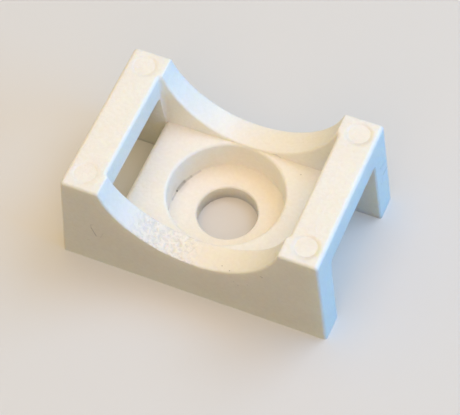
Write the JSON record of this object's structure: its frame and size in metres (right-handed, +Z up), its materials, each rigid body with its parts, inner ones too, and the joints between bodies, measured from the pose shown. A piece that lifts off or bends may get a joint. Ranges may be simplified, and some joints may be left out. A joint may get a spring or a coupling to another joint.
{
  "type": "screw cable tie mount",
  "caption": "Saddle-shaped base screwed to a surface, with a strap channel under its end bars and a counterbored screw hole, for tying down a cable bundle.",
  "frame": {"origin": "centre of the screw hole at the mounting face", "axes": "+X along the mount from one strap bar to the other, +Y across it from wall to wall, +Z up out of the mounting face along the screw hole"},
  "size_m": [0.0226, 0.0142, 0.0097],
  "materials": {
    "mount_body": "natural ivory nylon, satin as moulded"
  },
  "bodies": {
    "root": {"mount_body": "mount_body"}
  },
  "joints": []
}
